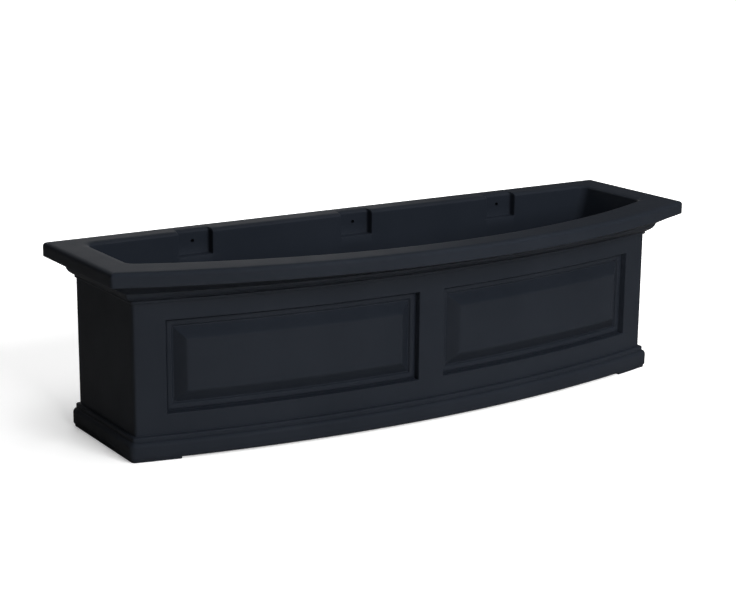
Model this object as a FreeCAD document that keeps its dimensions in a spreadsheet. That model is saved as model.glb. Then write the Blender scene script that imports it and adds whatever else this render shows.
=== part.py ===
import FreeCAD, Part
import math
import os
import re

import Sketcher

# A window box planter, moulded in plastic as a double wall: a bowed, panelled outer
# shell with a cornice and a plinth, an inner trough for the soil that hangs under the
# rim above a water reservoir, and two pull-out drain plugs under the reservoir.
# Millimetres, +Z up, the long front faces -Y, the origin is the middle of the footprint.

DRIVING_SIZES = [
    # overall
    ("length", 914, "rim, end to end"),
    ("depth", 305, "rim, from the wall to the crown of its bow"),
    ("height", 254, "from the ground to the rim's top"),
    ("rim_end_depth", 211, "rim, from the wall to its front corners"),
    ("skin", 5, "thickness of the outer skin"),
    ("corner_round", 4, "upright corners of the outer shell"),
    # body under the rim
    ("end_overhang", 43, "rim beyond the body at each end"),
    ("body_end_depth", 177, "body, from the wall to its front corners"),
    ("body_depth", 228, "body, from the wall to the crown of its bow"),
    ("back_inset", 5, "body behind the rim and the plinth at the back"),
    # rim and cornice
    ("fascia_height", 19, "upright face of the rim"),
    ("fascia_chamfer", 2, "bevel of the rim's upper edge"),
    ("soffit_height", 15.4, "straight slope under the rim"),
    ("soffit_skin", 6, "upright thickness of the skin over that slope"),
    ("soffit_start", 0.06, "share of the overhang where the slope starts"),
    ("soffit_end", 0.667, "share of the overhang where the slope ends"),
    ("cove_height", 12.6, "hollow moulding under the slope"),
    ("cove_hollow_in", 0.7, "share of the cove's reach at its middle section"),
    ("cove_hollow_up", 0.44, "share of the cove's height at its middle section"),
    ("neck_height", 3.5, "small band under the cove"),
    ("neck_end", 0.94, "share of the overhang at the small band"),
    # plinth
    ("plinth_proud", 10, "plinth beyond the body"),
    ("plinth_height", 26, "top of the plinth's round"),
    ("plinth_round", 6.5, "round along the plinth's top"),
    ("plinth_chamfer", 2, "bevel of the plinth's lower edge"),
    ("plinth_corner_round", 8, "upright corners of the plinth"),
    ("bead_proud", 5, "bead on the plinth, beyond the body"),
    ("bead_height", 6, "bead on the plinth"),
    ("bead_chamfer", 2, "bevel of the bead's upper edge"),
    ("foot_height", 3, "feet under the plinth"),
    ("foot_length", 62, "feet, along the box"),
    ("foot_width", 56, "feet, across the box"),
    ("foot_inset", 2, "feet behind the plinth's face"),
    # panels
    ("stile", 40, "upright margin between and beside the panels"),
    ("panel_base", 58.5, "lower edge of the panels"),
    ("panel_drop", 23.5, "panels below the small band under the cove"),
    ("quirk_depth", 2, "square step round a panel"),
    ("quirk_width", 1, "flat of that step"),
    ("ovolo_width", 7.5, "round of the moulding, across"),
    ("ovolo_depth", 9, "round of the moulding, inwards"),
    ("groove_width", 1.5, "flat at the bottom of the moulding"),
    ("bevel_width", 16, "slope from the groove up to the raised field"),
    # opening and trough
    ("rim_end_width", 45, "rim's top at the ends"),
    ("rim_front_width", 44, "rim's top at the front"),
    ("rim_back_width", 39, "rim's top at the back"),
    ("opening_bow", 94, "bow of the opening's front edge"),
    ("opening_round", 14, "corners of the opening"),
    ("lip_chamfer", 3, "bevel of the opening's edge"),
    ("trough_skin", 4, "thickness of the trough"),
    ("trough_gap", 4, "clearance between trough and shell"),
    ("trough_floor", 60, "top of the trough's floor"),
    ("trough_draft", 3, "taper of the trough, each side"),
    ("slope_drop", 2, "trough's outer slope starts this much lower"),
    # screw pads in the back wall
    ("pad_spacing", 254, "screw pads, centre to centre"),
    ("pad_width", 50, "screw pad"),
    ("pad_recess", 11, "screw pad, into the back wall"),
    ("pad_height", 34, "screw pad, down from the rim's top"),
    ("pad_round", 3, "corners of a screw pad"),
    ("screw_hole", 5, "wall screw hole"),
    ("screw_drop", 16, "wall screw holes under the rim's top"),
    ("boss_size", 18, "boss that ties trough and shell at a screw"),
    # wells and holes of the trough
    ("well_spacing", 380, "wells, centre to centre"),
    ("well_length", 96, "well, along the box"),
    ("well_width", 64, "well, across the box"),
    ("well_round", 14, "corners of a well"),
    ("slot_height", 6, "water slots at the foot of a well"),
    ("slot_length", 12, "water slots at the foot of a well"),
    ("drain_hole", 8, "holes in the trough's floor"),
    ("drain_spacing", 560, "holes in the trough's floor, centre to centre"),
    ("overflow_hole", 8, "overflow holes in the back"),
    ("overflow_height", 48, "overflow holes above the ground"),
    # drain plugs
    ("plug_spacing", 600, "drain plugs, centre to centre"),
    ("plug_recess_size", 46, "recess round a drain plug"),
    ("plug_recess_depth", 12, "recess above the shell's underside"),
    ("plug_size", 22, "hole for a drain plug"),
    ("plug_clearance", 0.05, "radial, plug in its hole"),
    ("plug_head", 36, "head of a drain plug"),
    ("plug_head_height", 3, "head of a drain plug"),
    ("plug_length", 10, "shank of a drain plug above its hole's floor"),
    ("plug_grip_width", 4, "finger bar under the plug's head"),
    ("plug_grip_height", 4.5, "finger bar under the plug's head"),
    ("plug_grip_root", 0.5, "finger bar sunk into the plug's head"),
    ("seal_height", 2, "seal under the shell's floor"),
    ("seal_size", 31, "seal, outside"),
]

# Sizes that follow from the driving ones.
WORKED_OUT = [
    ("wall_plane", "depth / 2"),
    ("rim_half", "length / 2"),
    ("rim_crown", "-depth / 2"),
    ("rim_bow", "depth - rim_end_depth"),
    ("body_half", "rim_half - end_overhang"),
    ("body_back", "wall_plane - back_inset"),
    ("body_crown", "wall_plane - body_depth"),
    ("body_bow", "body_depth - body_end_depth"),
    ("body_radius", "(body_half * body_half + body_bow * body_bow) / (2 * body_bow)"),
    ("fascia_base", "height - fascia_height"),
    ("soffit_base", "fascia_base - soffit_height"),
    ("cove_base", "soffit_base - cove_height"),
    ("neck_base", "cove_base - neck_height"),
    ("panel_top", "neck_base - panel_drop"),
    ("groove_depth", "quirk_depth + ovolo_depth"),
    ("field_inset", "quirk_width + ovolo_width + groove_width + bevel_width"),
    ("rim_underside", "height - skin"),
    ("hollow_back", "body_back - skin"),
    ("hollow_base", "foot_height + skin"),
    ("opening_half", "rim_half - rim_end_width"),
    ("opening_back", "wall_plane - rim_back_width"),
    ("opening_crown", "rim_crown + rim_front_width"),
    ("pad_back", "opening_back + pad_recess"),
    ("pad_base", "height - pad_height"),
    ("screw_height", "height - screw_drop"),
    ("trough_front_inset", "skin + groove_depth + trough_gap + trough_skin"),
    ("trough_half", "body_half - skin - trough_gap - trough_skin"),
    ("plug_seat", "foot_height + plug_recess_depth"),
]

doc = FreeCAD.newDocument("window_box")
sheet = doc.addObject("Spreadsheet::Sheet", "sizes")
for row, (alias, amount, meaning) in enumerate(DRIVING_SIZES, start=1):
    sheet.set(f"A{row}", meaning)
    sheet.set(f"B{row}", str(amount))
    sheet.setAlias(f"B{row}", alias)
for row, (alias, formula) in enumerate(WORKED_OUT, start=1):
    sheet.set(f"D{row}", "=" + formula)
    sheet.setAlias(f"D{row}", alias)
doc.recompute()
ALIASES = {alias for alias, *_ in DRIVING_SIZES + WORKED_OUT}

UP = FreeCAD.Vector(0, 0, 1)
OVERCUT = 2.0  # how far a cutting solid reaches past what it cuts


def size(formula):
    """The value of a formula written with the sheet's names."""
    return float(sheet.evalExpression(formula))


def bind(thing, path, formula):
    """Tie a property to a formula written with the sheet's names."""
    named = re.sub(
        r"[a-z_]+",
        lambda word: f"<<sizes>>.{word[0]}" if word[0] in ALIASES else word[0],
        formula,
    )
    thing.setExpression(path, named)


# ---------------------------------------------------------------- plans and sketches


def bow_radius(half, bow):
    return f"(({half}) * ({half}) + ({bow}) * ({bow})) / (2 * ({bow}))"


PAD_PLACES = ("-pad_spacing", "0", "pad_spacing")
PLUG_PLACES = {"left": "-plug_spacing / 2", "right": "plug_spacing / 2"}
WELL_PLACES = ("-well_spacing / 2", "well_spacing / 2")


def plan(half, back, crown, radius, front_round="corner_round", back_round="corner_round"):
    """An outline seen from above: straight back and ends and a bowed front."""
    return dict(
        half=half,
        back=back,
        crown=crown,
        radius=radius,
        front_round=front_round,
        back_round=back_round,
    )


def cornice_plan(share, inset="0", back=None):
    """A plan between the rim's (share 0) and the body's (share 1), drawn in by inset."""
    half = f"(rim_half - ({share}) * end_overhang - ({inset}))"
    bow = f"(rim_bow - ({share}) * (rim_bow - body_bow))"
    return plan(
        half=half,
        back=back or f"wall_plane - ({share}) * back_inset - ({inset})",
        crown=f"rim_crown + ({share}) * (body_crown - rim_crown) + ({inset})",
        radius=bow_radius(half, bow),
    )


def body_plan(inset, back, **rounds):
    """A plan whose front runs beside the body's front, drawn in by inset."""
    return plan(
        half=f"(body_half - ({inset}))",
        back=back,
        crown=f"body_crown + ({inset})",
        radius=f"body_radius - ({inset})",
        **rounds,
    )


def opening_plan(grow):
    """The opening in the rim, drawn out by grow."""
    return plan(
        half=f"(opening_half + ({grow}))",
        back=f"opening_back + ({grow})",
        crown=f"opening_crown - ({grow})",
        radius=f"({bow_radius('opening_half', 'opening_bow')}) + ({grow})",
        front_round=f"opening_round + ({grow})",
        back_round=f"opening_round + ({grow})",
    )


def trough_plan(grow):
    """The trough's walls under the rim, drawn out by grow."""
    return plan(
        half=f"(trough_half + ({grow}))",
        back=f"opening_back + ({grow})",
        crown=f"body_crown + trough_front_inset - ({grow})",
        radius=f"body_radius - trough_front_inset + ({grow})",
        front_round=f"opening_round + ({grow})",
        back_round=f"opening_round + ({grow})",
    )


def origin_plane(body, role):
    for item in body.Origin.OriginFeatures:
        if item.Role == role:
            return item
    raise LookupError(role)


def new_sketch(body, name, role, offset):
    sketch = body.newObject("Sketcher::SketchObject", name)
    sketch.AttachmentSupport = (origin_plane(body, role), [""])
    sketch.MapMode = "FlatFace"
    bind(sketch, "AttachmentOffset.Base.z", offset)
    return sketch


def name_size(sketch, number, name, formula):
    sketch.renameConstraint(number, name)
    bind(sketch, "Constraints." + name, formula)


def circle_arc(centre, radius, start, end):
    return Part.ArcOfCircle(Part.Circle(centre, UP, radius), start, end)


def plan_sketch(body, name, outline, level):
    """Sketch a plan at a level: back, ends and bowed front, joined by corner rounds."""
    sketch = new_sketch(body, name, "XY_Plane", level)
    half = size(outline["half"])
    back = size(outline["back"])
    radius = size(outline["radius"])
    front_round = size(outline["front_round"])
    back_round = size(outline["back_round"])
    centre_y = size(outline["crown"]) + radius
    inner = half - front_round
    corner_y = centre_y - math.sqrt((radius - front_round) ** 2 - inner**2)
    lean = math.atan2(inner, centre_y - corner_y)
    low_left, low_right = 1.5 * math.pi - lean, 1.5 * math.pi + lean
    back_y = back - back_round
    back_x = half - back_round
    point = FreeCAD.Vector
    # anticlockwise from the back: each piece starts where the one before it ends
    sketch.addGeometry(
        [
            Part.LineSegment(point(back_x, back), point(-back_x, back)),
            circle_arc(point(-back_x, back_y), back_round, math.pi / 2, math.pi),
            Part.LineSegment(point(-half, back_y), point(-half, corner_y)),
            circle_arc(point(-inner, corner_y), front_round, math.pi, low_left),
            circle_arc(point(0, centre_y), radius, low_left, low_right),
            circle_arc(point(inner, corner_y), front_round, low_right, 2 * math.pi),
            Part.LineSegment(point(half, corner_y), point(half, back_y)),
            circle_arc(point(back_x, back_y), back_round, 0, math.pi / 2),
        ]
    )
    pieces = 8
    constraint = Sketcher.Constraint
    rules = [
        constraint("Tangent", piece, 2, (piece + 1) % pieces, 1) for piece in range(pieces)
    ]
    rules += [
        constraint("Horizontal", 0),
        constraint("Vertical", 2),
        constraint("Vertical", 6),
        constraint("PointOnObject", 4, 3, -2),
        constraint("Equal", 1, 7),
        constraint("Equal", 3, 5),
    ]
    sketch.addConstraint(rules)
    sizes = [
        ("back_round", constraint("Radius", 1, back_round), outline["back_round"]),
        ("front_round", constraint("Radius", 3, front_round), outline["front_round"]),
        ("bow_radius", constraint("Radius", 4, radius), outline["radius"]),
        ("right_half", constraint("DistanceX", -1, 1, 6, 1, half), outline["half"]),
        ("left_half", constraint("DistanceX", 2, 1, -1, 1, half), outline["half"]),
        ("back", constraint("DistanceY", -1, 1, 0, 1, back), outline["back"]),
        (
            "bow_centre",
            constraint("DistanceY", -1, 1, 4, 3, centre_y),
            f"{outline['crown']} + {outline['radius']}",
        ),
    ]
    for label, rule, formula in sizes:
        name_size(sketch, sketch.addConstraint(rule), label, formula)
    return sketch


def rounded_box_sketch(body, name, boxes, level, rounding):
    """Sketch rounded rectangles; each box is (middle x, low y, width, high y)."""
    sketch = new_sketch(body, name, "XY_Plane", level)
    constraint = Sketcher.Constraint
    point = FreeCAD.Vector
    corner = size(rounding)
    for middle, low, width, high in boxes:
        left, right = f"({middle}) - ({width}) / 2", f"({middle}) + ({width}) / 2"
        x_low, x_high, y_low, y_high = (size(text) for text in (left, right, low, high))
        first = sketch.GeometryCount
        sketch.addGeometry(
            [
                Part.LineSegment(point(x_low + corner, y_low), point(x_high - corner, y_low)),
                circle_arc(
                    point(x_high - corner, y_low + corner), corner, 1.5 * math.pi, 2 * math.pi
                ),
                Part.LineSegment(point(x_high, y_low + corner), point(x_high, y_high - corner)),
                circle_arc(point(x_high - corner, y_high - corner), corner, 0, math.pi / 2),
                Part.LineSegment(point(x_high - corner, y_high), point(x_low + corner, y_high)),
                circle_arc(
                    point(x_low + corner, y_high - corner), corner, math.pi / 2, math.pi
                ),
                Part.LineSegment(point(x_low, y_high - corner), point(x_low, y_low + corner)),
                circle_arc(
                    point(x_low + corner, y_low + corner), corner, math.pi, 1.5 * math.pi
                ),
            ]
        )
        rules = [
            constraint("Tangent", first + piece, 2, first + (piece + 1) % 8, 1)
            for piece in range(8)
        ]
        rules += [constraint("Horizontal", first), constraint("Horizontal", first + 4)]
        rules += [constraint("Vertical", first + 2), constraint("Vertical", first + 6)]
        rules += [constraint("Equal", first + 1, first + piece) for piece in (3, 5, 7)]
        sketch.addConstraint(rules)
        number = sketch.addConstraint(constraint("Radius", first + 1, corner))
        name_size(sketch, number, f"round_{first}", rounding)
        for label, kind, line, amount, formula in [
            ("left", "DistanceX", first + 6, x_low, left),
            ("right", "DistanceX", first + 2, x_high, right),
            ("low", "DistanceY", first, y_low, low),
            ("high", "DistanceY", first + 4, y_high, high),
        ]:
            number = sketch.addConstraint(constraint(kind, -1, 1, line, 1, amount))
            name_size(sketch, number, f"{label}_{first}", formula)
    return sketch


def circle_sketch(body, name, role, spots, level, diameter):
    """Sketch equal circles; each spot is a pair of formulas in the plane of the role."""
    sketch = new_sketch(body, name, role, level)
    constraint = Sketcher.Constraint
    for number, (across, along) in enumerate(spots):
        centre = FreeCAD.Vector(size(across), size(along), 0)
        sketch.addGeometry(Part.Circle(centre, UP, size(diameter) / 2))
        for label, rule, formula in [
            ("size", constraint("Diameter", number, size(diameter)), diameter),
            ("across", constraint("DistanceX", -1, 1, number, 3, centre.x), across),
            ("along", constraint("DistanceY", -1, 1, number, 3, centre.y), along),
        ]:
            name_size(sketch, sketch.addConstraint(rule), f"{label}_{number}", formula)
    return sketch


# ---------------------------------------------------------------- features


def add(body, kind, name, profile, **bound):
    """Add a feature on a sketch, with its sizes tied to the sheet."""
    feature = body.newObject("PartDesign::" + kind, name)
    feature.Profile = profile
    for path, formula in bound.items():
        bind(feature, path, formula)
    profile.Visibility = False
    body.Tip = feature
    return feature


def pad(body, name, profile, length, down=False):
    feature = add(body, "Pad", name, profile, Length=length)
    feature.Reversed = down
    return feature


def pocket(body, name, profile, length, up=False):
    feature = add(body, "Pocket", name, profile, Length=length)
    feature.Reversed = up
    return feature


def loft(body, kind, name, sketches):
    feature = add(body, kind, name, sketches[0])
    feature.Sections = sketches[1:]
    feature.Ruled = True
    return feature


def fillet(body, name, base, radius, wanted, kind="Fillet", path="Radius"):
    """Round, or with another kind chamfer, the edges for which wanted(edge) holds."""
    doc.recompute()
    chosen = [
        f"Edge{number}"
        for number, edge in enumerate(base.Shape.Edges, start=1)
        if wanted(edge)
    ]
    if not chosen:
        raise RuntimeError(f"{name}: no edge to round")
    feature = body.newObject("PartDesign::" + kind, name)
    feature.Base = (base, chosen)
    bind(feature, path, radius)
    body.Tip = feature
    return feature


def lies_at(edge, level):
    box = edge.BoundBox
    return abs(box.ZMin - level) < 0.01 and abs(box.ZMax - level) < 0.01


def new_body(name):
    return doc.addObject("PartDesign::Body", name)


def part_boolean(kind, name, base, tools):
    """A boolean of whole objects: a cut takes one tool, a fuse any number."""
    result = doc.addObject("Part::" + kind, name)
    if kind == "Cut":
        result.Base, result.Tool = base, tools
    else:
        result.Shapes = [base] + tools
    return result


def cylinders(name, diameter, length, spots, lying=False):
    """Equal cylinders; each spot is the (x, y, z) of a lower or front end's middle."""
    made = []
    for number, spot in enumerate(spots):
        rod = doc.addObject("Part::Cylinder", f"{name}_{number}")
        bind(rod, "Radius", f"({diameter}) / 2")
        bind(rod, "Height", length)
        if lying:
            rod.Placement = FreeCAD.Placement(
                FreeCAD.Vector(), FreeCAD.Rotation(FreeCAD.Vector(1, 0, 0), -90)
            )
        for axis, formula in zip("xyz", spot):
            bind(rod, f"Placement.Base.{axis}", formula)
        made.append(rod)
    return made


def blocks(name, length, width, height, spots):
    """Equal boxes; each spot is the (x, y, z) of the middle of a box's front low edge."""
    made = []
    for number, (middle, front, low) in enumerate(spots):
        block = doc.addObject("Part::Box", f"{name}_{number}")
        bind(block, "Length", length)
        bind(block, "Width", width)
        bind(block, "Height", height)
        bind(block, "Placement.Base.x", f"{middle} - ({length}) / 2")
        bind(block, "Placement.Base.y", front)
        bind(block, "Placement.Base.z", low)
        made.append(block)
    return made


# ---------------------------------------------------------------- panels of the front

# A raised panel on the bowed front is framed by a mitred moulding. Its upright lengths
# are drawn in plan and extruded, its level ones are drawn in section and turned about
# the axis of the bow, and where the two meet they make the mitres.

ARC_SHARE = math.sqrt(0.5)  # middle of a quarter round


def bow_axis_y():
    return size("body_crown + body_radius")


def plan_point(along, inwards):
    """A point seen from above: along the front from its middle, and behind its face."""
    angle = along / size("body_radius")
    reach = size("body_radius") - inwards
    return FreeCAD.Vector(reach * math.sin(angle), bow_axis_y() - reach * math.cos(angle), 0)


def section_point(level, inwards):
    """A point of the front's upright section in the middle of the box."""
    return FreeCAD.Vector(0, bow_axis_y() - size("body_radius") + inwards, level)


def curve(start, middle, end):
    """An arc through three points, or a line where they lie on one."""
    if middle.distanceToPoint((start + end) / 2) < 1e-6:
        return Part.LineSegment(start, end).toShape()
    return Part.Arc(start, middle, end).toShape()


def moulded_face(place, low, high, steps):
    """The face between two mirrored edge profiles.

    steps holds (offset from the edge, depth) pairs, with a third value where the
    piece that leads there is a quarter round."""
    edges = []
    for origin, way in ((low, 1), (high, -1)):
        for here, step in zip(steps, steps[1:]):
            start, end = (place(origin + way * spot[0], spot[1]) for spot in (here, step))
            middle = (start + end) / 2
            if here[1] == step[1]:
                middle = place(origin + way * (here[0] + step[0]) / 2, step[1])
            elif len(step) == 3:
                middle = place(
                    origin + way * (here[0] + (step[0] - here[0]) * ARC_SHARE),
                    here[1] + (step[1] - here[1]) * (1 - ARC_SHARE),
                )
            edges.append(curve(start, middle, end))
    for offset, depth in (steps[0][:2], steps[-1][:2]):
        middle = place((low + high) / 2, depth)
        edges.append(curve(place(low + offset, depth), middle, place(high - offset, depth)))
    return Part.Face(Part.Wire(Part.__sortEdges__(edges)))


def framed_solid(steps):
    """A solid in the right panel's place whose four edges have the same profile."""
    start, end = size("stile / 2"), size("body_half - stile")
    start, end = (size("body_radius") * math.asin(x / size("body_radius")) for x in (start, end))
    base, top = size("panel_base"), size("panel_top")
    margin = 3 * size("field_inset")
    upright = moulded_face(plan_point, start, end, steps)
    upright.translate(FreeCAD.Vector(0, 0, base - margin))
    upright = upright.extrude(FreeCAD.Vector(0, 0, top - base + 2 * margin))
    axis = FreeCAD.Vector(0, bow_axis_y(), 0)
    level = moulded_face(section_point, base, top, steps)
    turn = math.degrees((end - start + 2 * margin) / size("body_radius"))
    level.rotate(axis, UP, math.degrees((start - margin) / size("body_radius")))
    level = level.revolve(axis, UP, turn)
    return upright.common(level)


def bevel(offset, depth, from_depth, to_depth):
    """The two ends of a line with the bevel's slope through a point of the profile."""
    run = size("bevel_width / groove_depth")
    return [
        (offset + (depth - level) * run, level) for level in (from_depth, to_depth)
    ]


def panel_moulding(skin):
    """The moulding round a raised panel: a sunk frame less the field that rises in it.

    skin draws the same form deeper and wider, for the inner side of the shell."""
    proud = -OVERCUT
    outer_width = size("quirk_width + ovolo_width")
    groove = size("groove_depth")
    if skin:
        sunk = [(-skin, proud), (-skin, skin), (outer_width, groove + skin)]
    else:
        sunk = [
            (0, proud),
            (0, size("quirk_depth")),
            (size("quirk_width"), size("quirk_depth")),
            (outer_width, groove, "round"),
        ]
    slope = math.atan(groove / size("bevel_width"))
    edge = outer_width + size("groove_width") + skin * math.sin(slope)
    field = bevel(edge, groove + skin * math.cos(slope), groove + skin + OVERCUT, proud)
    field.append((field[-1][0], proud - OVERCUT))
    return framed_solid(sunk).cut(framed_solid(field))


def both_panels(name, skin):
    right = panel_moulding(skin)
    left = right.mirror(FreeCAD.Vector(), FreeCAD.Vector(1, 0, 0))
    feature = doc.addObject("Part::Feature", name)
    feature.Shape = Part.makeCompound([right, left])
    return feature


# ---------------------------------------------------------------- outer shell


def lower_form():
    """The shell from the feet up to the soffit, still solid."""
    body = new_body("lower_form")
    outline = body_plan("-plinth_proud", "wall_plane")
    outline.update(front_round="plinth_corner_round", back_round="plinth_corner_round")
    plinth = plan_sketch(body, "plinth_plan", outline, "foot_height")
    plinth = pad(body, "plinth", plinth, "plinth_height - foot_height")
    top, foot = size("plinth_height"), size("foot_height")
    plinth = fillet(
        body, "plinth_rounds", plinth, "plinth_round", lambda edge: lies_at(edge, top)
    )
    fillet(
        body, "plinth_foot_chamfer", plinth, "plinth_chamfer",
        lambda edge: lies_at(edge, foot), kind="Chamfer", path="Size",
    )
    feet = body_plan("foot_inset - plinth_proud", "wall_plane - foot_inset")
    feet = plan_sketch(body, "feet_plan", feet, "foot_height")
    pad(body, "feet", feet, "foot_height", down=True)
    half = "(body_half + plinth_proud - foot_inset)"
    low, high = "body_crown - 2 * plinth_proud", "wall_plane + plinth_proud"
    across = [("0", low, f"2 * ({half} - foot_length)", high)]
    between = rounded_box_sketch(body, "between_ends", across, "0", "corner_round")
    pocket(body, "gap_between_ends", between, "foot_height", up=True)
    front = "body_crown + body_bow - plinth_proud + foot_width"
    along = [("0", front, f"2 * {half} + 4 * corner_round", "wall_plane - foot_width")]
    between = rounded_box_sketch(body, "between_sides", along, "0", "corner_round")
    pocket(body, "gap_between_sides", between, "foot_height", up=True)

    outline = body_plan("-bead_proud", "wall_plane - bead_proud / 2")
    bead = plan_sketch(body, "bead_plan", outline, "plinth_height")
    bead = pad(body, "bead", bead, "bead_height")
    bead_top = size("plinth_height + bead_height")
    fillet(
        body, "bead_chamfer", bead, "bead_chamfer", lambda edge: lies_at(edge, bead_top),
        kind="Chamfer", path="Size",
    )

    wall = plan_sketch(body, "body_plan", body_plan("0", "body_back"), "neck_base")
    pad(body, "wall", wall, "neck_base - plinth_height", down=True)
    neck = plan_sketch(body, "neck_plan", cornice_plan("neck_end"), "neck_base")
    pad(body, "neck", neck, "neck_height")
    cove_share = "soffit_end + (neck_end - soffit_end) * cove_hollow_in"
    cove_level = "cove_base + cove_height * cove_hollow_up"
    cove = [
        ("cove_foot", cornice_plan("neck_end"), "cove_base"),
        ("cove_middle", cornice_plan(cove_share), cove_level),
        ("cove_top", cornice_plan("soffit_end"), "soffit_base"),
    ]
    cove = [plan_sketch(body, *section) for section in cove]
    loft(body, "AdditiveLoft", "cove", cove)
    soffit = [
        ("soffit_foot", cornice_plan("soffit_end"), "soffit_base"),
        ("soffit_top", cornice_plan("soffit_start"), "fascia_base"),
    ]
    loft(body, "AdditiveLoft", "soffit", [plan_sketch(body, *each) for each in soffit])
    return body


def rim_form():
    """The rim, with its upper edges bevelled outside and round the opening."""
    body = new_body("rim_form")
    rim = plan_sketch(body, "rim_plan", cornice_plan("0"), "fascia_base")
    fascia = pad(body, "fascia", rim, "fascia_height")
    top = size("height")
    fillet(
        body, "fascia_chamfer", fascia, "fascia_chamfer", lambda edge: lies_at(edge, top),
        kind="Chamfer", path="Size",
    )
    opening = plan_sketch(body, "opening_plan", opening_plan("0"), "height")
    opening = pocket(body, "opening", opening, "fascia_height")
    fillet(
        body, "lip_chamfer", opening, "lip_chamfer",
        lambda edge: lies_at(edge, top) and inside_rim(edge), kind="Chamfer", path="Size",
    )
    notches = rounded_box_sketch(body, "pad_plan", pad_boxes("0"), "height", "pad_round")
    pocket(body, "pad_notches", notches, "fascia_height")
    return body


def inside_rim(edge):
    """Whether an edge belongs to the opening and not to the rim's outline."""
    box = edge.BoundBox
    end = size("rim_half - rim_end_width / 2")
    front, back = size("rim_crown + rim_front_width / 2"), size("wall_plane - rim_back_width / 2")
    return -end < box.XMin and box.XMax < end and front < box.YMin and box.YMax < back


def pad_boxes(grow):
    """Plans of the three screw pads, drawn out by grow."""
    low = "opening_back - 2 * pad_round"
    width, back = f"pad_width + 2 * ({grow})", f"pad_back + ({grow})"
    return [(middle, low, width, back) for middle in PAD_PLACES]


def shell_hollow():
    """The space between the skins, open under the rim where the trough hangs."""
    body = new_body("shell_hollow")
    reach_in = body_plan("skin", "hollow_back")
    reservoir = plan_sketch(body, "reservoir_plan", reach_in, "neck_base")
    pad(body, "reservoir", reservoir, "neck_base - hollow_base", down=True)
    sections = [
        ("hollow_foot", cornice_plan("1", "skin", "hollow_back"), "neck_base"),
        ("hollow_neck", cornice_plan("1", "skin", "hollow_back"), "cove_base + skin / 2"),
        ("hollow_cove", cornice_plan("soffit_end", "0", "hollow_back"), "soffit_base + soffit_skin"),
        ("hollow_rim", cornice_plan("0", "skin", "hollow_back"), "fascia_base + skin"),
        ("hollow_top", cornice_plan("0", "skin", "hollow_back"), "rim_underside"),
    ]
    sketches = [plan_sketch(body, *section) for section in sections]
    loft(body, "AdditiveLoft", "cornice_hollow", sketches)
    return body


def outer_shell():
    lower = lower_form()
    outside = part_boolean("MultiFuse", "outer_form", lower, [rim_form()])
    backing = both_panels("panel_backing", size("skin"))
    hollow = part_boolean("Cut", "hollow_behind_panels", shell_hollow(), backing)
    panelled = part_boolean("Cut", "panelled_form", outside, both_panels("panels", 0))
    shell = part_boolean("Cut", "hollow_shell", panelled, hollow)

    spots = [(x, "0", "foot_height + skin / 2") for x in PLUG_PLACES.values()]
    seats = cylinders(
        "plug_dome", "plug_recess_size + 2 * skin", "plug_recess_depth + skin / 2", spots
    )
    domed = part_boolean("MultiFuse", "domed_shell", shell, seats)
    spots = [(x, "0", "0") for x in PLUG_PLACES.values()]
    recesses = cylinders("plug_recess", "plug_recess_size", "plug_seat", spots)
    holes = cylinders("plug_hole", "plug_size", "plug_seat + 2 * skin", spots)
    spots = [(x, "hollow_back - skin", "overflow_height") for x in PLUG_PLACES.values()]
    overflow = cylinders("overflow", "overflow_hole", "4 * skin", spots, lying=True)
    screws = screw_holes("shell_screw_hole", "hollow_back - skin")
    tools = part_boolean("MultiFuse", "shell_holes", recesses[0], recesses[1:] + holes)
    drilled = part_boolean("Cut", "drained_shell", domed, tools)
    tools = part_boolean("MultiFuse", "back_holes", overflow[0], overflow[1:] + screws)
    return part_boolean("Cut", "outer_shell", drilled, tools)


def screw_holes(name, start):
    spots = [(x, start, "screw_height") for x in PAD_PLACES]
    return cylinders(name, "screw_hole", f"wall_plane - ({start}) + skin", spots, lying=True)


# ---------------------------------------------------------------- inner trough


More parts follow.
